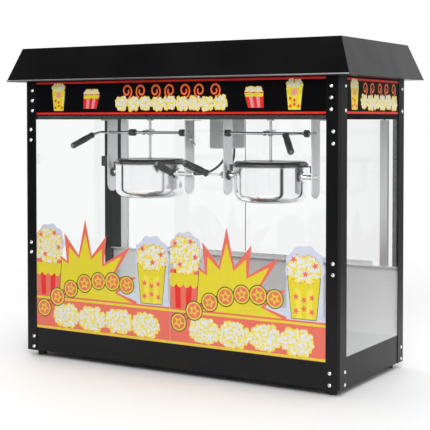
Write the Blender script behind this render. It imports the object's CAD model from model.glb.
import math
import random

import bmesh
import bpy
from mathutils import Matrix, Vector


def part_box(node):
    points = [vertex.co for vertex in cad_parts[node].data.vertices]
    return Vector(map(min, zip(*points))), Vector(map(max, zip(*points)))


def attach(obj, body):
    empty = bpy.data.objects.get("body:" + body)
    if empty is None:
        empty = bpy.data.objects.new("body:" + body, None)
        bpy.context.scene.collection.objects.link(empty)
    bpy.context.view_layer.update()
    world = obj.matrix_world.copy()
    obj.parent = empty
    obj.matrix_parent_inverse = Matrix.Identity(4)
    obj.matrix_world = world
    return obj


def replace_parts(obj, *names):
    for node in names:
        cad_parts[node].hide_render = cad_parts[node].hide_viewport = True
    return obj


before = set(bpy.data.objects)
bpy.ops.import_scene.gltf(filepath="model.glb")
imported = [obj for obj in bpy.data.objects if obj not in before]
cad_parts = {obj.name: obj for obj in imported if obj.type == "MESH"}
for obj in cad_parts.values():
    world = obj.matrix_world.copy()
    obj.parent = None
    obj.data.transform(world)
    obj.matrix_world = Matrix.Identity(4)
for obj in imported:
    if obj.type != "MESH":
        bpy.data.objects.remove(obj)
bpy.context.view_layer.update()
scene = bpy.context.scene


# ---- Camera: stands to the right of the cabinet's front, level with the middle of the glass ----
# The lens is moved down behind the camera, so that the posts stay upright in the picture.
view = bpy.data.cameras.new("view")
view.lens = 94.87
view.sensor_width = 36
view.shift_y = -0.144
camera = bpy.data.objects.new("view", view)
camera.location = (1.5034, -2.4531, 0.615)
camera.rotation_euler = (math.radians(90 - 1.7), 0, math.radians(31.28))
scene.collection.objects.link(camera)
scene.camera = camera
scene.view_settings.view_transform = "Standard"


# ---- Studio: a pale round floor under a bright even sky ----
# The floor fades out at its edge and is clear from below. Two dark cards stand in the sky, at
# the front left and low at the right rear, for the black faces to mirror.
floor_radius = 2.6
floor_mesh = bmesh.new()
bmesh.ops.create_circle(floor_mesh, cap_ends=True, radius=floor_radius, segments=96)
floor_data = bpy.data.meshes.new("studio_floor")
floor_mesh.to_mesh(floor_data)
floor_mesh.free()
floor = bpy.data.objects.new("studio_floor", floor_data)
scene.collection.objects.link(floor)

pale = bpy.data.materials.new("pale_floor")
pale.use_nodes = True
place = pale.node_tree.nodes.new("ShaderNodeTexCoord")
length = pale.node_tree.nodes.new("ShaderNodeVectorMath")
length.operation = "LENGTH"
fade = pale.node_tree.nodes.new("ShaderNodeMapRange")
fade.interpolation_type = "SMOOTHSTEP"
fade.inputs["From Min"].default_value = 0.75
fade.inputs["From Max"].default_value = floor_radius * 0.95
fade.inputs["To Min"].default_value = 1
fade.inputs["To Max"].default_value = 0
pale.node_tree.links.new(place.outputs["Object"], length.inputs[0])
pale.node_tree.links.new(length.outputs["Value"], fade.inputs["Value"])
pale_shader = pale.node_tree.nodes["Principled BSDF"]
pale_shader.inputs["Base Color"].default_value = (0.93, 0.93, 0.93, 1)
pale_shader.inputs["Roughness"].default_value = 0.6
above = pale.node_tree.nodes.new("ShaderNodeNewGeometry")
one_way = pale.node_tree.nodes.new("ShaderNodeMath")
one_way.operation = "SUBTRACT"
one_way.use_clamp = True
pale.node_tree.links.new(fade.outputs["Result"], one_way.inputs[0])
pale.node_tree.links.new(above.outputs["Backfacing"], one_way.inputs[1])
pale.node_tree.links.new(one_way.outputs["Value"], pale_shader.inputs["Alpha"])
floor_data.materials.append(pale)

sky = bpy.data.worlds.new("studio_sky")
scene.world = sky
sky.use_nodes = True
sky_nodes = sky.node_tree.nodes
sky_links = sky.node_tree.links
sky_place = sky_nodes.new("ShaderNodeTexCoord")
sky_nodes["Background"].inputs["Color"].default_value = (1, 1, 1, 1)


def dark_card(towards, outer, inner, level):
    """A dark patch of the sky round one direction; outer and inner are the cosines of its rim."""
    aim = sky_nodes.new("ShaderNodeVectorMath")
    aim.operation = "DOT_PRODUCT"
    aim.inputs[1].default_value = Vector(towards).normalized()
    shade = sky_nodes.new("ShaderNodeMapRange")
    shade.interpolation_type = "SMOOTHSTEP"
    shade.inputs["From Min"].default_value = outer
    shade.inputs["From Max"].default_value = inner
    shade.inputs["To Min"].default_value = 1.0
    shade.inputs["To Max"].default_value = level
    sky_links.new(sky_place.outputs["Generated"], aim.inputs[0])
    sky_links.new(aim.outputs["Value"], shade.inputs["Value"])
    return shade.outputs["Result"]


both_cards = sky_nodes.new("ShaderNodeMath")
both_cards.operation = "MULTIPLY"
sky_links.new(dark_card((-0.5, -0.82, 0.2), 0.55, 0.86, 0.06), both_cards.inputs[0])
sky_links.new(dark_card((0.56, 0.82, -0.1), 0.9, 0.985, 0.12), both_cards.inputs[1])
seen = sky_nodes.new("ShaderNodeLightPath")
straight = sky_nodes.new("ShaderNodeMath")
straight.operation = "MAXIMUM"
sky_links.new(seen.outputs["Is Camera Ray"], straight.inputs[0])
sky_links.new(seen.outputs["Is Transmission Ray"], straight.inputs[1])
brightness = sky_nodes.new("ShaderNodeMath")
brightness.operation = "MAXIMUM"
sky_links.new(both_cards.outputs["Value"], brightness.inputs[0])
sky_links.new(straight.outputs["Value"], brightness.inputs[1])
sky_links.new(brightness.outputs["Value"], sky_nodes["Background"].inputs["Strength"])


def soft_box(name, place, target, width, height, power):
    lamp = bpy.data.lights.new(name, "AREA")
    lamp.shape = "RECTANGLE"
    lamp.size = width
    lamp.size_y = height
    lamp.energy = power
    holder = bpy.data.objects.new(name, lamp)
    holder.location = place
    holder.rotation_euler = (Vector(target) - Vector(place)).to_track_quat("-Z", "Y").to_euler()
    scene.collection.objects.link(holder)


soft_box("key_box", (1.5, -2.5, 2.1), (0, 0, 0.3), 1.5, 1.2, 54)
soft_box("fill_box", (-2.4, 0.6, 1.9), (0, 0, 0.4), 1.8, 1.4, 10)


# ---- Cabinet steel: base pan, corner posts, rear header, ceiling tray and hood ----
# Sheet steel, cut and folded, with a near black powder coat. The posts stand on the base pan
# and the hood sits on the posts, and the coat has the fine pebbled skin of baked powder.
def new_group(name, inputs, outputs):
    tree = bpy.data.node_groups.new(name, "ShaderNodeTree")
    for label, kind, value in inputs:
        socket = tree.interface.new_socket(name=label, in_out="INPUT", socket_type=kind)
        socket.default_value = value
    for label, kind in outputs:
        tree.interface.new_socket(name=label, in_out="OUTPUT", socket_type=kind)
    return tree, tree.nodes.new("NodeGroupInput").outputs, tree.nodes.new("NodeGroupOutput").inputs


def noise(tree, scale, detail, stretch=None):
    place = tree.nodes.new("ShaderNodeTexCoord")
    texture = tree.nodes.new("ShaderNodeTexNoise")
    texture.inputs["Detail"].default_value = detail
    source = place.outputs["Object"]
    if stretch is not None:
        mapping = tree.nodes.new("ShaderNodeVectorMath")
        mapping.operation = "MULTIPLY"
        tree.links.new(source, mapping.inputs[0])
        if isinstance(stretch, bpy.types.NodeSocket):
            tree.links.new(stretch, mapping.inputs[1])
        else:
            mapping.inputs[1].default_value = stretch
        source = mapping.outputs["Vector"]
    tree.links.new(source, texture.inputs["Vector"])
    if isinstance(scale, bpy.types.NodeSocket):
        tree.links.new(scale, texture.inputs["Scale"])
    else:
        texture.inputs["Scale"].default_value = scale
    return texture.outputs["Fac"]


def spread(tree, value, low, high, to_low, to_high):
    node = tree.nodes.new("ShaderNodeMapRange")
    for label, setting in (("From Min", low), ("From Max", high), ("To Min", to_low), ("To Max", to_high)):
        if isinstance(setting, bpy.types.NodeSocket):
            tree.links.new(setting, node.inputs[label])
        else:
            node.inputs[label].default_value = setting
    tree.links.new(value, node.inputs["Value"])
    return node.outputs["Result"]


def blend_colour(tree, amount, first, second):
    node = tree.nodes.new("ShaderNodeMix")
    node.data_type = "RGBA"
    for socket, setting in ((node.inputs[0], amount), (node.inputs[6], first), (node.inputs[7], second)):
        if isinstance(setting, bpy.types.NodeSocket):
            tree.links.new(setting, socket)
        else:
            socket.default_value = setting
    return node.outputs[2]


def times(tree, first, second):
    node = tree.nodes.new("ShaderNodeMath")
    node.operation = "MULTIPLY"
    for socket, setting in ((node.inputs[0], first), (node.inputs[1], second)):
        if isinstance(setting, bpy.types.NodeSocket):
            tree.links.new(setting, socket)
        else:
            socket.default_value = setting
    return node.outputs["Value"]


# Surface of a made part: rounded edges, rubbed lighter, with a fine grain and handling marks.
# Grain Size is the grains per metre, Grain Depth and Edge Radius are in metres.
surface, given, result = new_group(
    "made_surface",
    [("Colour", "NodeSocketColor", (0.5, 0.5, 0.5, 1)),
     ("Rubbed Colour", "NodeSocketColor", (0.7, 0.7, 0.7, 1)),
     ("Mottle", "NodeSocketFloat", 0.1), ("Rub", "NodeSocketFloat", 0.5), ("Shine", "NodeSocketFloat", 0.4),
     ("Marks", "NodeSocketFloat", 0.1), ("Grain Size", "NodeSocketFloat", 900.0),
     ("Grain Depth", "NodeSocketFloat", 0.00003), ("Edge Radius", "NodeSocketFloat", 0.0006),
     ("Stretch", "NodeSocketVector", (1, 1, 1))],
    [("Colour", "NodeSocketColor"), ("Roughness", "NodeSocketFloat"), ("Normal", "NodeSocketVector")])
rounded = surface.nodes.new("ShaderNodeBevel")
rounded.samples = 4
surface.links.new(given["Edge Radius"], rounded.inputs["Radius"])
facing = surface.nodes.new("ShaderNodeNewGeometry")
turned = surface.nodes.new("ShaderNodeVectorMath")
turned.operation = "DOT_PRODUCT"
surface.links.new(rounded.outputs["Normal"], turned.inputs[0])
surface.links.new(facing.outputs["True Normal"], turned.inputs[1])
edge = spread(surface, turned.outputs["Value"], 0.998, 0.85, 0.0, 1.0)
scuffs = spread(surface, noise(surface, 38, 6), 0.44, 0.62, 0.15, 1.0)
rubbed = times(surface, times(surface, edge, scuffs), given["Rub"])
clouds = times(surface, spread(surface, noise(surface, 9, 5), 0.3, 0.7, 0.0, 1.0), given["Mottle"])
toned = blend_colour(surface, clouds, given["Colour"], given["Rubbed Colour"])
surface.links.new(blend_colour(surface, rubbed, toned, given["Rubbed Colour"]), result["Colour"])
wiped = spread(surface, noise(surface, 6, 8, (1, 2.2, 0.7)), 0.3, 0.7, -1.0, 1.0)
shine = surface.nodes.new("ShaderNodeMath")
shine.operation = "MULTIPLY_ADD"
surface.links.new(wiped, shine.inputs[0])
surface.links.new(given["Marks"], shine.inputs[1])
surface.links.new(given["Shine"], shine.inputs[2])
surface.links.new(shine.outputs["Value"], result["Roughness"])
grain = surface.nodes.new("ShaderNodeBump")
surface.links.new(noise(surface, given["Grain Size"], 3, given["Stretch"]), grain.inputs["Height"])
surface.links.new(given["Grain Depth"], grain.inputs["Distance"])
surface.links.new(rounded.outputs["Normal"], grain.inputs["Normal"])
surface.links.new(grain.outputs["Normal"], result["Normal"])


def finish(name, colour, rubbed, shine, metal=0.0, **settings):
    material = bpy.data.materials.new(name)
    material.use_nodes = True
    nodes = material.node_tree.nodes
    links = material.node_tree.links
    skin = nodes.new("ShaderNodeGroup")
    skin.node_tree = surface
    skin.inputs["Colour"].default_value = (*colour, 1)
    skin.inputs["Rubbed Colour"].default_value = (*rubbed, 1)
    skin.inputs["Shine"].default_value = shine
    for label, value in settings.items():
        skin.inputs[label.replace("_", " ").title()].default_value = value
    shader = nodes["Principled BSDF"]
    shader.inputs["Metallic"].default_value = metal
    links.new(skin.outputs["Colour"], shader.inputs["Base Color"])
    links.new(skin.outputs["Roughness"], shader.inputs["Roughness"])
    links.new(skin.outputs["Normal"], shader.inputs["Normal"])
    return material


def dress(material, *names):
    for name in names:
        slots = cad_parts[name].data.materials
        slots.clear()
        slots.append(material)


powder_black = finish("powder_black", (0.0034, 0.0034, 0.0038), (0.05, 0.05, 0.053), 0.33, mottle=0.05,
                      rub=0.55, marks=0.05, grain_size=1400, grain_depth=0.00001, edge_radius=0.0009)
powder_black.node_tree.nodes["Principled BSDF"].inputs["Specular IOR Level"].default_value = 0.26
dress(powder_black, "base_pan", "post_front_left", "post_front_right", "post_rear_left", "post_rear_right",
      "rear_header", "ceiling_plate", "roof_hood")


# ---- Hem along the hood's front and rear eaves ----
# The hood's bottom edge is rolled back on itself, and a bright aluminium bead closes the roll.
# Lengths of the added pieces are in millimetres, and MM turns them into metres.
MM = 0.001


def make_piece(name, mesh, body, slot, *materials, smooth=False):
    data = bpy.data.meshes.new(name)
    bmesh.ops.recalc_face_normals(mesh, faces=mesh.faces)
    mesh.to_mesh(data)
    mesh.free()
    for material in materials:
        data.materials.append(material)
    if smooth:
        data.shade_smooth()
        data.set_sharp_from_angle(angle=math.radians(38))
    made = bpy.data.objects.new(name, data)
    scene.collection.objects.link(made)
    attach(made, body)
    return made


def add_ring_sweep(mesh, rings, close_ends=True):
    loops = [[mesh.verts.new(point) for point in ring] for ring in rings]
    count = len(loops[0])
    for near, far in zip(loops, loops[1:]):
        for k in range(count):
            after = (k + 1) % count
            mesh.faces.new((near[k], near[after], far[after], far[k]))
    if close_ends:
        mesh.faces.new(loops[0][::-1])
        mesh.faces.new(loops[-1])


bead_metal = finish("bead_aluminium", (0.42, 0.43, 0.45), (0.7, 0.7, 0.72), 0.38, 1.0, mottle=0.3, marks=0.08,
                    grain_size=500, stretch=(0.05, 1, 1), edge_radius=0.0003)
hood_low, hood_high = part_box("roof_hood")
bead_r = 2.2 * MM
for name, outward in (("eave_bead_front", -1), ("eave_bead_rear", 1)):
    bead = bmesh.new()
    bead_y = (hood_high.y if outward > 0 else hood_low.y) - outward * (bead_r + 0.1 * MM)
    ends = (hood_low.x + 1.5 * MM, hood_low.x + 3 * MM, hood_high.x - 3 * MM, hood_high.x - 1.5 * MM)
    swell = (0.7, 1.0, 1.0, 0.7)
    add_ring_sweep(bead, [[(x, bead_y + size * bead_r * math.cos(k * math.tau / 16),
                            hood_low.z + bead_r + size * bead_r * math.sin(k * math.tau / 16))
                           for k in range(16)]
                          for x, size in zip(ends, swell)])
    make_piece(name, bead, "root", "stainless", bead_metal, smooth=True)


# ---- Corner screws and feet ----
# Dome head screws of bright zinc plated steel hold the posts to the base, the glass rails and
# the header. The feet are turned rubber buffers, each screwed up into the base pan.
zinc = finish("bright_zinc", (0.8, 0.81, 0.83), (0.92, 0.92, 0.93), 0.22, 1.0, mottle=0.25, marks=0.08,
              grain_size=1800, grain_depth=0.000004, edge_radius=0.0002)
dress(zinc, "corner_screws")
foot_rubber = finish("foot_rubber", (0.012, 0.012, 0.012), (0.05, 0.05, 0.05), 0.7, mottle=0.25, rub=0.7,
                     grain_size=2500, grain_depth=0.00003)
dress(foot_rubber, "feet")


# ---- Windows ----
# Float glass, 4 mm thick, held in the posts' folds: one pane in front and one on each side.
# The two rear doors are clear panes of the same thickness. All have faint wiping marks.
def clear_sheet(name, tint, haze):
    material = bpy.data.materials.new(name)
    material.use_nodes = True
    nodes = material.node_tree.nodes
    links = material.node_tree.links
    shader = nodes["Principled BSDF"]
    shader.inputs["Base Color"].default_value = (*tint, 1)
    shader.inputs["Transmission Weight"].default_value = 1.0
    shader.inputs["IOR"].default_value = 1.46
    smears = noise(material.node_tree, 5, 6, (1, 1, 0.35))
    links.new(spread(material.node_tree, smears, 0.45, 0.75, 0.0, haze), shader.inputs["Roughness"])
    ray = nodes.new("ShaderNodeLightPath")
    open_way = nodes.new("ShaderNodeBsdfTransparent")
    open_way.inputs["Color"].default_value = (0.97, 0.98, 0.98, 1)
    choice = nodes.new("ShaderNodeMixShader")
    links.new(ray.outputs["Is Shadow Ray"], choice.inputs["Fac"])
    links.new(shader.outputs["BSDF"], choice.inputs[1])
    links.new(open_way.outputs["BSDF"], choice.inputs[2])
    links.new(choice.outputs["Shader"], nodes["Material Output"].inputs["Surface"])
    return material


window_glass = clear_sheet("window_glass", (0.985, 0.995, 0.992), 0.02)
door_clear = clear_sheet("door_clear", (0.99, 0.995, 0.995), 0.03)
dress(window_glass, "front_glass", "side_glass_left", "side_glass_right")
dress(door_clear, "door_pane_left", "door_pane_right")


# ---- Bright metal parts: deck, crumb screen, drawer, apron, hanger arms and door stiles ----
# Stainless sheet, cut and folded, and drawn alloy for the stiles. The deck keeps its mirror
# polish; the other parts have the faint long grain of rolled or drawn metal.
mirror_steel = finish("mirror_steel", (0.8, 0.81, 0.82), (0.9, 0.9, 0.9), 0.1, 1.0, mottle=0.2, marks=0.04,
                      grain_size=350, grain_depth=0.000006, stretch=(0.04, 1, 1), edge_radius=0.0004)
rolled_steel = finish("rolled_steel", (0.7, 0.71, 0.72), (0.86, 0.86, 0.87), 0.27, 1.0, mottle=0.3,
                      marks=0.06, grain_size=1300, grain_depth=0.000006, stretch=(0.03, 1, 1),
                      edge_radius=0.0004)
upright_steel = finish("upright_steel", (0.76, 0.77, 0.78), (0.88, 0.88, 0.88), 0.32, 0.55, mottle=0.3,
                       marks=0.06, grain_size=1300, grain_depth=0.000006, stretch=(1, 1, 0.03),
                       edge_radius=0.0004)
door_alloy = finish("door_alloy", (0.62, 0.63, 0.64), (0.75, 0.75, 0.76), 0.36, 1.0, mottle=0.25, marks=0.05,
                    grain_size=1600, grain_depth=0.000008, stretch=(1, 1, 0.02), edge_radius=0.0005)
dress(mirror_steel, "deck")
satin_sheet = finish("satin_sheet", (0.7, 0.71, 0.72), (0.82, 0.82, 0.83), 0.4, 0.35, mottle=0.25, marks=0.05,
                     grain_size=1300, grain_depth=0.000006, stretch=(0.03, 1, 1), edge_radius=0.0004)
dress(rolled_steel, "crumb_screen", "kernel_drawer")
dress(satin_sheet, "rear_apron")
dress(upright_steel, "hanger_arms")
dress(door_alloy, "door_stile_left", "door_stile_right")


# ---- Door knobs ----
# A soft black cap is pressed over each knob's alloy core, near the door's free edge. It is
# turned with two grip grooves round its rim.
def lathe(mesh, outline, sides, place):
    """Turns an outline of (height, radius) points round +Z and puts it in place with a matrix."""
    rings = [[place @ Vector((r * math.cos(k * math.tau / sides), r * math.sin(k * math.tau / sides), h))
              for k in range(sides)] for h, r in outline]
    add_ring_sweep(mesh, rings)


def standing(x, y, z, axis="Z"):
    turn = {"Z": Matrix.Identity(4), "-Y": Matrix.Rotation(math.radians(90), 4, "X"),
            "Y": Matrix.Rotation(math.radians(-90), 4, "X"), "X": Matrix.Rotation(math.radians(90), 4, "Y"),
            "-X": Matrix.Rotation(math.radians(-90), 4, "Y")}[axis]
    return Matrix.Translation((x, y, z)) @ turn


soft_black = finish("soft_black", (0.011, 0.011, 0.012), (0.06, 0.06, 0.06), 0.46, mottle=0.12, rub=0.6,
                    marks=0.08, grain_size=1900, grain_depth=0.000015, edge_radius=0.0007)
knob_x = 22
knob_outline = [(0, 7.2), (0.6, 8.6), (3, 9.4), (3.4, 8.9), (4.0, 8.9), (4.4, 9.6), (5.8, 9.9),
                (6.2, 9.4), (6.8, 9.4), (7.2, 10.1), (8.6, 10.4), (9.6, 9.6), (9.9, 7.5)]
for side, x_sign in (("left", -1), ("right", 1)):
    stile_low, stile_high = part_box(f"door_stile_{side}")
    knob_z = (stile_low.z + 1.5 * MM + stile_high.z) / 2
    knob = bmesh.new()
    lathe(knob, [(h * MM, r * MM) for h, r in knob_outline], 40,
          standing(x_sign * knob_x * MM, stile_high.y - 9.4 * MM, knob_z, "Y"))
    make_piece(f"door_knob_cap_{side}", knob, f"door_{side}", "grip_plastic", soft_black, smooth=True)


# ---- Printed inks ----
# Screen printed vinyl inks, laid down one after another: each is a thin skin a few hundredths
# of a millimetre in front of the last, with the slightly uneven cover that a squeegee leaves.
ink_tone, given, result = new_group(
    "ink_cover",
    [("Ink", "NodeSocketColor", (0.5, 0.5, 0.5, 1)), ("Thin Ink", "NodeSocketColor", (0.5, 0.5, 0.5, 1)),
     ("Shine", "NodeSocketFloat", 0.35)],
    [("Colour", "NodeSocketColor"), ("Roughness", "NodeSocketFloat"), ("Normal", "NodeSocketVector")])
cover = spread(ink_tone, noise(ink_tone, 60, 8), 0.35, 0.75, 0.0, 1.0)
ink_tone.links.new(blend_colour(ink_tone, cover, given["Ink"], given["Thin Ink"]), result["Colour"])
gloss = ink_tone.nodes.new("ShaderNodeMath")
gloss.operation = "ADD"
ink_tone.links.new(given["Shine"], gloss.inputs[0])
ink_tone.links.new(spread(ink_tone, noise(ink_tone, 18, 4), 0.3, 0.7, -0.06, 0.08), gloss.inputs[1])
ink_tone.links.new(gloss.outputs["Value"], result["Roughness"])
weave = ink_tone.nodes.new("ShaderNodeBump")
weave.inputs["Distance"].default_value = 0.000006
ink_tone.links.new(noise(ink_tone, 1500, 2), weave.inputs["Height"])
ink_tone.links.new(weave.outputs["Normal"], result["Normal"])


def ink(name, colour, shine=0.38):
    material = bpy.data.materials.new(f"ink_{name}")
    material.use_nodes = True
    nodes = material.node_tree.nodes
    cover = nodes.new("ShaderNodeGroup")
    cover.node_tree = ink_tone
    cover.inputs["Ink"].default_value = (*colour, 1)
    cover.inputs["Thin Ink"].default_value = (*(min(1, c * 0.88 + 0.035) for c in colour), 1)
    cover.inputs["Shine"].default_value = shine
    for label, target in (("Colour", "Base Color"), ("Roughness", "Roughness"), ("Normal", "Normal")):
        material.node_tree.links.new(cover.outputs[label], nodes["Principled BSDF"].inputs[target])
    return material


INKS = {"coral": (0.8, 0.15, 0.1), "yellow": (0.76, 0.64, 0.015), "corn": (0.86, 0.72, 0.07),
        "white": (0.74, 0.76, 0.86), "pale": (0.62, 0.66, 0.78), "outline": (0.05, 0.055, 0.03),
        "amber": (0.75, 0.27, 0.03), "red": (0.78, 0.012, 0.006), "rose": (0.8, 0.28, 0.3)}
ink_names = list(INKS)
inks = [ink(name, colour) for name, colour in INKS.items()]


class Print:
    """Ink shapes on a flat face. sheet turns (across, up, ink depth) into a place in the frame."""

    def __init__(self, sheet):
        self.mesh = bmesh.new()
        self.sheet = sheet
        self.shapes = 0

    def fill(self, ink_pass, colour, points):
        """Lays one shape in the numbered pass. Neighbours in a pass differ by a micron or so."""
        depth = (ink_pass * 0.02 + self.shapes % 19 * 0.001) * MM
        self.shapes += 1
        corners = [self.mesh.verts.new(self.sheet(u * MM, v * MM, depth)) for u, v in points]
        face = self.mesh.faces.new(corners)
        face.material_index = ink_names.index(colour)

    def cut(self, low_u, high_u):
        """Trims the shapes that run past the sheet's side edges."""
        for edge_u, keep in ((low_u, 1), (high_u, -1)):
            here = self.sheet(edge_u * MM, 0, 0)
            inward = (self.sheet((edge_u + keep) * MM, 0, 0) - here).normalized()
            everything = self.mesh.verts[:] + self.mesh.edges[:] + self.mesh.faces[:]
            bmesh.ops.bisect_plane(self.mesh, geom=everything, plane_co=here, plane_no=-inward,
                                   clear_outer=True)

    def press(self, name, body):
        data = bpy.data.meshes.new(name)
        self.mesh.to_mesh(data)
        self.mesh.free()
        for material in inks:
            data.materials.append(material)
        made = bpy.data.objects.new(name, data)
        scene.collection.objects.link(made)
        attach(made, body)
        return made


def ring_points(u, v, radius, count, wave=0.0, lobes=5, phase=0.0):
    return [(u + radius * (1 + wave * math.cos(lobes * a + phase)) * math.cos(a),
             v + radius * (1 + wave * math.cos(lobes * a + phase)) * math.sin(a))
            for a in (k * math.tau / count for k in range(count))]


def star_points(u, v, radius, points=5, inner=0.45, turn=90.0):
    steps = [math.radians(turn + k * 180 / points) for k in range(2 * points)]
    return [(u + radius * (inner if k % 2 else 1) * math.cos(a),
             v + radius * (inner if k % 2 else 1) * math.sin(a))
            for k, a in enumerate(steps)]


def bar_points(low_u, low_v, high_u, high_v):
    return [(low_u, low_v), (high_u, low_v), (high_u, high_v), (low_u, high_v)]


def popcorn_heap(sheet, ink_pass, u, v, half_w, half_h, size, seed, shadow="amber"):
    """Popped kernels in four passes: hulls behind, buttery flakes, white flakes and buttery hearts."""
    draw = random.Random(seed)
    spots = []
    rows = max(2, round(2 * half_h / (size * 1.2)))
    for row in range(rows):
        level = -1 + 2 * (row + 0.5) / rows
        reach = half_w * math.sqrt(max(0.1, 1 - abs(level) ** 2.6))
        columns = max(1, round(2 * reach / (size * 1.35)))
        for column in range(columns):
            across = -1 + 2 * (column + 0.5) / columns
            spots.append((u + across * reach + draw.uniform(-1, 1) * size * 0.3,
                          v + level * half_h + draw.uniform(-1, 1) * size * 0.25, draw.uniform(0.85, 1.15)))
    for a, b, big in spots:
        sheet.fill(ink_pass, shadow, ring_points(a, b, size * big * 1.02, 15, 0.16, 5, draw.uniform(0, 6)))
    for a, b, big in spots:
        flake = ring_points(a, b, size * big * 0.94, 15, 0.18, 5, draw.uniform(0, 6))
        sheet.fill(ink_pass + 1, "corn", flake)
    for a, b, big in spots:
        for k in range(2):
            sheet.fill(ink_pass + 2, "white", ring_points(
                a + draw.uniform(-1, 1) * size * 0.55, b + draw.uniform(-0.7, 0.9) * size * 0.5,
                size * big * 0.47, 15, 0.26, 5 - k * 2, draw.uniform(0, 6)))
    for a, b, big in spots:
        sheet.fill(ink_pass + 3, "corn", ring_points(
            a + draw.uniform(-1, 1) * size * 0.5, b + draw.uniform(-1, 1) * size * 0.5,
            size * big * 0.3, 9, 0.34, 3, draw.uniform(0, 6)))


def paper_tub(sheet, ink_pass, u, v, top_w, foot_w, height, ground, stripe, lean=0.0):
    """A striped paper tub with a scalloped collar, standing on (u, v), in four passes."""
    def at(across, up):
        wide = foot_w + (top_w - foot_w) * up
        return u + across * wide / 2 + lean * up * height, v + up * height

    sheet.fill(ink_pass, "outline", [at(-1.04, -0.015), at(1.04, -0.015), at(1.04, 1.0), at(-1.04, 1.0)])
    sheet.fill(ink_pass + 1, ground, [at(-1, 0), at(1, 0), at(1, 1), at(-1, 1)])
    for k in (1, 3):
        left, right = -1 + 2 * k / 5, -1 + 2 * (k + 1) / 5
        sheet.fill(ink_pass + 2, stripe, [at(left, 0.01), at(right, 0.01), at(right, 0.99), at(left, 0.99)])
    scallops = [at(-1 + 2 * k / 24, 0.74 - 0.06 * abs(math.sin(k * math.pi / 6))) for k in range(25)]
    sheet.fill(ink_pass + 3, "yellow", scallops + [at(1, 0.93), at(-1, 0.93)])


def star_badge(sheet, ink_pass, u, v, radius, turn):
    sheet.fill(ink_pass, "outline", ring_points(u, v, radius, 36))
    sheet.fill(ink_pass + 1, "yellow", ring_points(u, v, radius * 0.9, 36))
    sheet.fill(ink_pass + 2, "coral", ring_points(u, v, radius * 0.74, 36))
    sheet.fill(ink_pass + 3, "yellow", star_points(u, v, radius * 0.66, turn=turn))
    sheet.fill(ink_pass + 4, "coral", star_points(u, v, radius * 0.32, turn=turn))


# ---- Printed films on the front window ----
# Two equal vinyl films side by side along the foot of the front glass. Each has a coral band
# with heaps of popcorn, a yellow burst, a striped tub, a row of star badges and a starred bag.
def window_film(name, left_u, seed):
    face_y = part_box("front_glass")[0].y - 0.03 * MM
    sheet = Print(lambda u, v, depth: Vector((left_u * MM + u, face_y - depth, v)))
    width = 414.5
    foot = 75.4
    band_top = 163
    sheet.fill(0, "pale", [(232, 150), (width, 150), (width, 176), (300, 190), (268, 216), (232, 206)])

    def burst(grow):
        # Nine rays fan out from low left to low right, long and short by turns
        points = []
        for k in range(19):
            a = math.radians(-16 + k * 212 / 18)
            reach = 192 - 24 * (k // 2 % 2) + grow * 3.4 if k % 2 else 102 + grow * 0.9
            points.append((max(1, 158 + reach * math.cos(a)), 172 + reach * math.sin(a)))
        return points

    sheet.fill(1, "coral", burst(0))
    sheet.fill(2, "yellow", burst(-11))
    sheet.fill(3, "pale", ring_points(44, 300, 47, 60, 0.045, 9, 0.4))
    sheet.fill(3, "pale", ring_points(362, 283, 49, 60, 0.045, 9, 0.9))
    sheet.fill(4, "pale", bar_points(316, 158, 408, 286))
    paper_tub(sheet, 5, 38, 122, 86, 66, 134, "coral", "red")
    popcorn_heap(sheet, 9, 42, 290, 41, 42, 8.4, seed)
    paper_tub(sheet, 5, 360, 167, 82, 62, 96, "yellow", "corn")
    for k in range(6):
        star_v = 184 + 26 * (k // 3) + 6 * (k % 2)
        sheet.fill(9, "coral", star_points(340 + 20 * (k % 3), star_v, 8.5, turn=70 + 31 * k))
    popcorn_heap(sheet, 9, 361, 279, 40, 28, 8.4, seed + 1)
    for u, v in ((14, 318), (72, 288), (28, 268), (58, 324), (334, 300), (388, 288), (364, 268)):
        sheet.fill(13, "coral", star_points(u, v, 9, turn=80 + u))
    sheet.fill(14, "coral", bar_points(0, foot, width, band_top))
    sheet.fill(15, "yellow", bar_points(0, foot + 1, width, foot + 6.5))
    sheet.fill(15, "yellow", bar_points(0, 153, width, 158.5))
    for k in range(4):
        popcorn_heap(sheet, 15, 97 + 82 * k, 115 - 2 * (k % 2), 40, 27, 7.8, seed + 2 + k, "corn")

    def badge_row(u):
        return 212 - 86 * ((u - 232) / 211) ** 2

    arc = [(u, badge_row(u)) for u in (21 + 268 * k / 24 for k in range(25))]
    sheet.fill(19, "outline", [(u, v - 9) for u, v in arc] + [(u, v + 9) for u, v in reversed(arc)])
    sheet.fill(20, "coral", [(u, v - 6.5) for u, v in arc] + [(u, v + 6.5) for u, v in reversed(arc)])
    for k in range(7):
        u = 25 + 43.5 * k
        star_badge(sheet, 21, u, badge_row(u), 23 + k % 2, 90 - 9 * (3 - k))
    sheet.cut(0.4, width - 0.4)
    return sheet.press(name, "root")


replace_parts(window_film("window_film_left", -414.5, 11), "front_decals")
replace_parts(window_film("window_film_right", 0.0, 41), "front_decals")


# ---- Header signs ----
# Glossy black acrylic panels in the header, printed with red rules, a long heap of popcorn
# with curls of steam over it, small tubs and starred bags. One is in front, one on each side.
sign_black = finish("sign_black", (0.003, 0.003, 0.004), (0.02, 0.02, 0.02), 0.12, mottle=0.05, rub=0.2,
                    marks=0.03, grain_size=500, grain_depth=0.000003, edge_radius=0.0004)
sign_black.node_tree.nodes["Principled BSDF"].inputs["Specular IOR Level"].default_value = 0.25
dress(sign_black, "front_sign", "side_signs")


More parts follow.
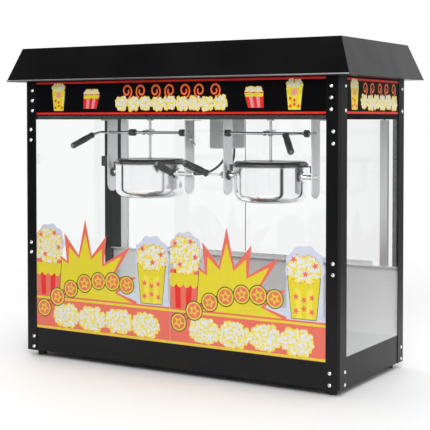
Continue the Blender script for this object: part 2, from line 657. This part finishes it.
def steam_curl(sheet, u, v, radius, flip):
    """An open curl: a ribbon that winds in towards its own middle."""
    def along(width, k):
        t = k / 26
        a = math.radians(-70 + 470 * t)
        r = radius * (1 - 0.72 * t) + width
        return u + flip * r * math.cos(a), v + r * math.sin(a) * 1.15

    for ink_pass, colour, half in ((5, "red", radius * 0.17), (6, "amber", radius * 0.08)):
        for k in range(26):
            sheet.fill(ink_pass, colour,
                       [along(-half, k), along(half, k), along(half, k + 1), along(-half, k + 1)])


def starred_bag(sheet, u, v, size, seed):
    popcorn_heap(sheet, 0, u, v + size * 0.86, size * 0.3, size * 0.17, size * 0.075, seed)
    paper_tub(sheet, 4, u, v, size * 0.62, size * 0.46, size * 0.76, "corn", "yellow")
    for k in range(5):
        star_u = u + size * (-0.16 + 0.16 * (k % 3))
        star_v = v + size * (0.12 + 0.2 * (k // 3) + 0.06 * (k % 2))
        sheet.fill(8, "red", star_points(star_u, star_v, size * 0.08, turn=40 * k))
    sheet.fill(8, "rose", star_points(u, v + size * 0.6, size * 0.15, 6, 0.6))


def sign_rules(sheet, low_u, high_u, low_v, high_v):
    for level in (low_v, high_v):
        sheet.fill(0, "red", bar_points(low_u, level, high_u, level + 5))


def long_heap(sheet, low_u, high_u, v, half_h, size, seed):
    count = max(3, round((high_u - low_u) / (half_h * 2.2)))
    step = (high_u - low_u) / count
    for k in range(count):
        middle_u = low_u + (k + 0.5) * step
        popcorn_heap(sheet, 0, middle_u, v - half_h * 0.12 * (k % 2), step * 0.52, half_h, size, seed + k)


front_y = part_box("front_sign")[0].y - 0.03 * MM
front_print = Print(lambda u, v, depth: Vector((u, front_y - depth, v)))
sign_rules(front_print, -413, 413, 627.5, 705)
starred_bag(front_print, -340, 637, 66, 100)
starred_bag(front_print, 335, 637, 66, 110)
for tub_u, tub_lean, seed in ((-240, 0.16, 120), (236, -0.16, 130)):
    popcorn_heap(front_print, 0, tub_u + tub_lean * 34, 680, 24, 9, 5.2, seed)
    paper_tub(front_print, 4, tub_u, 642, 50, 40, 36, "red", "rose", tub_lean)
long_heap(front_print, -160, 158, 655, 15.5, 6.2, 140)
for k in range(7):
    steam_curl(front_print, -126 + 42 * k, 684, 15.5, -1 if k % 2 else 1)
front_print.press("front_sign_print", "root")

sign_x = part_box("side_signs")[1].x + 0.03 * MM
for name, side in (("side_sign_print_left", -1), ("side_sign_print_right", 1)):
    side_print = Print(lambda u, v, depth, side=side: Vector((side * (sign_x + depth), side * u, v)))
    sign_rules(side_print, -148, 148, 628, 703)
    starred_bag(side_print, -108, 637, 66, 160)
    long_heap(side_print, -72, 140, 656, 15.5, 6.2, 170)
    for k in range(5):
        steam_curl(side_print, -50 + 42 * k, 686, 13.5, -1 if k % 2 else 1)
    side_print.press(name, "root")


# ---- Kettle shells, pans and heating plates ----
# Each kettle is a mirror polished stainless shell, hung on two trunnions, round a spun
# aluminium cooking pan. A cast heating plate is clamped between the two, under the pan.
polished_shell = finish("polished_shell", (0.93, 0.935, 0.94), (0.98, 0.98, 0.98), 0.12, 1.0, mottle=0.15,
                        marks=0.03, grain_size=260, grain_depth=0.000003, stretch=(1, 1, 0.2),
                        edge_radius=0.0008)
spun_pan = finish("spun_pan", (0.6, 0.6, 0.6), (0.82, 0.82, 0.82), 0.3, 1.0, mottle=0.4, marks=0.08,
                  grain_size=900, grain_depth=0.00001, stretch=(0.1, 0.1, 1), edge_radius=0.0005)
cast_iron = finish("cast_iron", (0.06, 0.055, 0.05), (0.2, 0.19, 0.18), 0.62, 0.7, mottle=0.5, marks=0.1,
                   grain_size=1100, grain_depth=0.00012)
dress(polished_shell, "kettle_shell_left", "kettle_shell_right")
dress(spun_pan, "kettle_pan_left", "kettle_pan_right")
dress(cast_iron, "heating_plate_left", "heating_plate_right")


# ---- Lids and lid bridges ----
# A bridge of dark steel bar crosses each kettle and carries the shaft's bush and two hinge
# rods. The two half lids are pressed from heat blued steel and lift on those rods.
blued_steel = finish("blued_steel", (0.045, 0.046, 0.05), (0.3, 0.3, 0.31), 0.24, 1.0, mottle=0.35,
                     marks=0.07, grain_size=800, grain_depth=0.000008, edge_radius=0.0006)
dress(blued_steel, "lid_flap_front_left", "lid_flap_front_right", "lid_flap_rear_left", "lid_flap_rear_right",
      "lid_bridge_left", "lid_bridge_right")


# ---- Stirring drive ----
# Ground steel shafts: the stirrer's ends in a flat tang, and the drive shaft's claw drops
# over it. The motor turns a hollow hub that the drive shaft slides in. Lift bars raise it.
ground_steel = finish("ground_steel", (0.62, 0.63, 0.64), (0.85, 0.85, 0.85), 0.2, 1.0, mottle=0.25,
                      marks=0.06, grain_size=1500, grain_depth=0.000006, stretch=(1, 1, 0.1),
                      edge_radius=0.0004)
dress(ground_steel, "stirrer_left", "stirrer_right", "drive_hub_left", "drive_hub_right", "drive_shaft_left",
      "drive_shaft_right", "lift_bar_left", "lift_bar_right")
cast_alloy = finish("cast_alloy", (0.3, 0.31, 0.32), (0.5, 0.5, 0.5), 0.5, 0.9, mottle=0.35, marks=0.1,
                    grain_size=700, grain_depth=0.00006)
zinc_sheet = finish("zinc_sheet", (0.45, 0.46, 0.48), (0.65, 0.66, 0.68), 0.42, 1.0, mottle=0.6, marks=0.1,
                    grain_size=160, grain_depth=0.00001)
dress(cast_alloy, "gear_motors")
dress(zinc_sheet, "control_box")


# ---- Handle grips ----
# Black phenolic mouldings, screwed on to the ends of the tilt handles and the lift bars. Each
# has a collar at its root, a swelling for the palm, three grip rings and a pale end plug.
phenolic = finish("phenolic_black", (0.008, 0.008, 0.0085), (0.06, 0.06, 0.06), 0.3, mottle=0.1, rub=0.5,
                  marks=0.07, grain_size=900, grain_depth=0.000006, edge_radius=0.0006)
plug_grey = finish("plug_grey", (0.09, 0.09, 0.095), (0.25, 0.25, 0.25), 0.42, mottle=0.2, marks=0.06,
                   grain_size=1200, grain_depth=0.00001)
GRIP_OUTLINE = [(0.0, 0.80), (0.01, 0.94), (0.045, 1.0), (0.06, 0.9), (0.08, 0.82), (0.12, 0.84),
                (0.2, 0.9), (0.32, 0.955), (0.45, 0.97), (0.58, 0.95), (0.64, 0.935), (0.652, 0.88),
                (0.672, 0.88), (0.684, 0.935), (0.72, 0.935), (0.732, 0.88), (0.752, 0.88),
                (0.764, 0.94), (0.8, 0.945), (0.812, 0.89), (0.832, 0.89), (0.844, 0.95), (0.9, 0.95),
                (0.94, 0.88), (0.965, 0.76)]
PLUG_OUTLINE = [(0.955, 0.58), (0.972, 0.6), (0.985, 0.52), (0.994, 0.3)]


def moulded_grip(node, body, root, lean, radius):
    along = Vector(lean).normalized()
    start = Vector(root) * MM + along * 3 * MM
    length = (Vector(lean).length + 1) * MM
    turn = Vector((0, 0, 1)).rotation_difference(along).to_matrix().to_4x4()
    place = Matrix.Translation(start) @ turn
    handle = bmesh.new()
    lathe(handle, [(h * length, r * radius * MM) for h, r in GRIP_OUTLINE], 36, place)
    handle_piece = make_piece(f"{node}_moulding", handle, body, "grip_plastic", phenolic, smooth=True)
    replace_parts(handle_piece, node)
    plug = bmesh.new()
    lathe(plug, [(h * length, r * radius * MM) for h, r in PLUG_OUTLINE], 28, place)
    make_piece(f"{node}_end_plug", plug, body, "grip_plastic", plug_grey, smooth=True)
    ferrule = bmesh.new()
    ferrule_outline = [(-2.6, 4.6), (-2.2, 5.4), (-0.3, 5.4), (0.2, 5.0)]
    lathe(ferrule, [(h * MM, r * MM) for h, r in ferrule_outline], 28, place)
    make_piece(f"{node}_ferrule", ferrule, body, "stainless", ground_steel, smooth=True)


# The kettles tilt about axis_y, tilt_z and the lift bars turn about bar_y, bar_z
kettle_x = 179
axis_y = -8.5
tilt_z = 475.5
bar_y = -22.5
bar_z = 581.0
handle_x = 46.75
tilt_grip_r = 9.5
lift_grip_r = 8.5
moulded_grip("tilt_grip_left", "kettle_left", (-handle_x, axis_y - 96, tilt_z + 6), (-7, -59, 25),
             tilt_grip_r)
moulded_grip("tilt_grip_right", "kettle_right", (handle_x, axis_y - 78, tilt_z + 6), (-31, -59, 28),
             tilt_grip_r)
moulded_grip("lift_grip_left", "lever_left", (-336, bar_y - 24, bar_z - 6), (-6, -80, -29), lift_grip_r)
moulded_grip("lift_grip_right", "lever_right", (261, bar_y - 66, bar_z), (36, -40, -42), lift_grip_r)


# ---- Collars, bushes and bolts on the hanger arms ----
# Black nylon collars clamp on the lift bars beside the arms, and black bushes line the arms
# at the trunnions. Zinc plated bolts hold the arms, and a stop block sits outside the left one.
collar_r = 8.8


def bar_collar(name, body, low_x, high_x):
    collar = bmesh.new()
    span = high_x - low_x
    outline = [(0, collar_r - 1.4), (0.6, collar_r - 0.3), (1.4, collar_r), (span - 1.4, collar_r),
               (span - 0.6, collar_r - 0.3), (span, collar_r - 1.4)]
    lathe(collar, [(h * MM, r * MM) for h, r in outline], 32,
          standing(low_x * MM, bar_y * MM, bar_z * MM, "X"))
    screw_outline = [(collar_r - 0.6, 2.4), (collar_r + 0.3, 2.4), (collar_r + 0.9, 2.0),
                     (collar_r + 1.1, 1.0)]
    lathe(collar, [(h * MM, r * MM) for h, r in screw_outline], 20,
          standing((low_x + high_x) / 2 * MM, bar_y * MM, bar_z * MM, "-Y"))
    make_piece(name, collar, body, "grip_plastic", soft_black, smooth=True)


bar_collar("bar_collar_left_outer", "lever_left", -234, -216)
bar_collar("bar_collar_left_inner", "lever_left", -77, -60)
bar_collar("bar_collar_right_inner", "lever_right", 60, 72)
bar_collar("bar_collar_right_outer", "lever_right", 279, 290)

arm_offset = 122
bush_outline = [(0, 11.6), (0.5, 12.2), (2.4, 12.2), (2.9, 11.6), (2.9, 6.15), (0, 6.15), (0, 11.6)]
for side, x_sign in (("left", -1), ("right", 1)):
    for place_name, outward in (("outer", 1), ("inner", -1)):
        face_x = x_sign * (kettle_x + outward * arm_offset) - x_sign * outward * 1.7
        bush = bmesh.new()
        lathe(bush, [(h * MM, r * MM) for h, r in bush_outline], 36,
              standing(face_x * MM, axis_y * MM, tilt_z * MM, "-X" if x_sign * outward > 0 else "X"))
        make_piece(f"trunnion_bush_{side}_{place_name}", bush, f"kettle_{side}", "grip_plastic", soft_black,
                   smooth=True)


def hex_bolt(name, place, size=3.6):
    bolt = bmesh.new()
    lathe(bolt, [(0, 5.2 * MM), (0.9 * MM, 5.2 * MM), (1.0 * MM, 5.0 * MM)], 28, place)
    lathe(bolt, [(0.9 * MM, size * MM), (3.2 * MM, size * MM), (3.7 * MM, (size - 0.5) * MM)], 6, place)
    lathe(bolt, [(3.6 * MM, 1.6 * MM), (5.2 * MM, 1.6 * MM), (5.6 * MM, 1.2 * MM)], 16, place)
    make_piece(name, bolt, "root", "screw_steel", zinc, smooth=True)


arm_face_x = 55.4
for side, x_sign in (("left", -1), ("right", 1)):
    for k, (bolt_y, bolt_z) in enumerate(((-5, 565), (9, 551))):
        hex_bolt(f"arm_bolt_{side}_{k + 1}",
                 standing(x_sign * arm_face_x * MM, bolt_y * MM, bolt_z * MM, "X" if x_sign < 0 else "-X"))


def rounded_block(name, low, high, bevel, body, slot, material):
    block = bmesh.new()
    bmesh.ops.create_cube(block, size=1)
    size = [(b - a) * MM for a, b in zip(low, high)]
    middle = [(a + b) / 2 * MM for a, b in zip(low, high)]
    bmesh.ops.scale(block, vec=size, verts=block.verts)
    bmesh.ops.translate(block, vec=middle, verts=block.verts)
    bmesh.ops.bevel(block, geom=block.edges[:], offset=bevel * MM, segments=4, affect="EDGES", profile=0.5)
    return make_piece(name, block, body, slot, material, smooth=True)


stop_x = -323
stop_bolt_z = 504
rounded_block("kettle_stop_block", (stop_x, -30, 491), (-303.2, 13, 518), 2.5, "root", "grip_plastic",
              soft_black)
hex_bolt("stop_block_bolt_front", standing(stop_x * MM, -19 * MM, stop_bolt_z * MM, "-X"), 4.2)
hex_bolt("stop_block_bolt_rear", standing(stop_x * MM, 3 * MM, stop_bolt_z * MM, "-X"), 4.2)


# ---- Socket box, heater leads and cabin lamp ----
# A painted steel box on the ceiling feeds both kettles' heaters through leads in braided
# heatproof sleeves. The lamp is a frosted glass cover over a warm bulb.
box_paint = finish("box_paint", (0.68, 0.69, 0.7), (0.75, 0.76, 0.77), 0.42, mottle=0.2, rub=0.5, marks=0.06,
                   grain_size=1400, grain_depth=0.00001, edge_radius=0.0012)
dress(box_paint, "socket_box")
braid = finish("braided_sleeve", (0.02, 0.02, 0.022), (0.12, 0.12, 0.12), 0.62, mottle=0.4, marks=0.1,
               grain_size=1600, grain_depth=0.0003, stretch=(1, 0.6, 1))
dress(braid, "kettle_leads")
frosted = finish("frosted_lamp", (0.88, 0.85, 0.76), (0.95, 0.94, 0.9), 0.5, mottle=0.3, marks=0.05,
                 grain_size=1500, grain_depth=0.00002)
lamp_shader = frosted.node_tree.nodes["Principled BSDF"]
lamp_shader.inputs["Emission Color"].default_value = (1.0, 0.9, 0.72, 1)
lamp_shader.inputs["Emission Strength"].default_value = 0.8
dress(frosted, "cabin_lamp")


# ---- Switches, bezels and cable gland on the rear header ----
# Moulded rocker switches snap into the header: green for the lamp, black for the motors and
# red for the two heaters. The nylon gland takes the mains lead.
dress(soft_black, "switch_bezels", "cable_gland")
rocker_tints = {"switch_light": (0.02, 0.22, 0.035), "switch_motor": (0.012, 0.012, 0.013),
                "switch_heat_left": (0.42, 0.012, 0.01), "switch_heat_right": (0.42, 0.012, 0.01)}
for name, tint in rocker_tints.items():
    worn = tuple(min(1, c * 1.6 + 0.02) for c in tint)
    rocker_plastic = finish(f"{name}_plastic", tint, worn, 0.28, mottle=0.1, rub=0.4, marks=0.05,
                            grain_size=900, grain_depth=0.000005, edge_radius=0.0005)
    dress(rocker_plastic, name)
